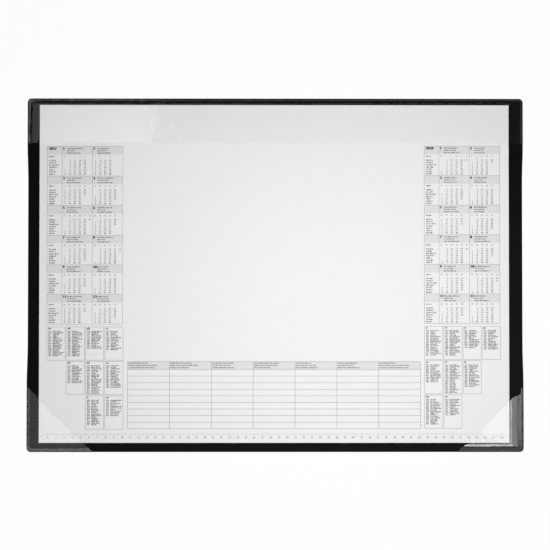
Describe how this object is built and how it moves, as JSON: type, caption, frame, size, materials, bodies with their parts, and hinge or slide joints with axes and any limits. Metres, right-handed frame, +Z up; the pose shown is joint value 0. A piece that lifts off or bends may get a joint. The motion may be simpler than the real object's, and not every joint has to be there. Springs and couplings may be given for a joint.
{
  "type": "desk pad calendar",
  "caption": "Wide desk mat with a pad of printed calendar leaves, held by a clear film band along the head and a clear film pocket at each front corner.",
  "frame": {"origin": "centre of the mat's footprint, on the desk", "axes": "+X to the user's right along the mat's long side, +Y away from the user towards the head band, +Z up"},
  "size_m": [0.6038, 0.43, 0.0063],
  "materials": {
    "mat_plastic": "fine grained soft black sheet",
    "board": "raw grey board",
    "paper": "uncoated white writing paper, printed in greys",
    "glue": "dried padding glue",
    "film": "clear glossy film"
  },
  "bodies": {
    "root": {"base_mat": "mat_plastic", "backing_card": "board", "leaf_block": "paper", "glue_binding": "glue", "head_band": "film", "corner_pocket_left": "film", "corner_pocket_right": "film"}
  },
  "joints": []
}
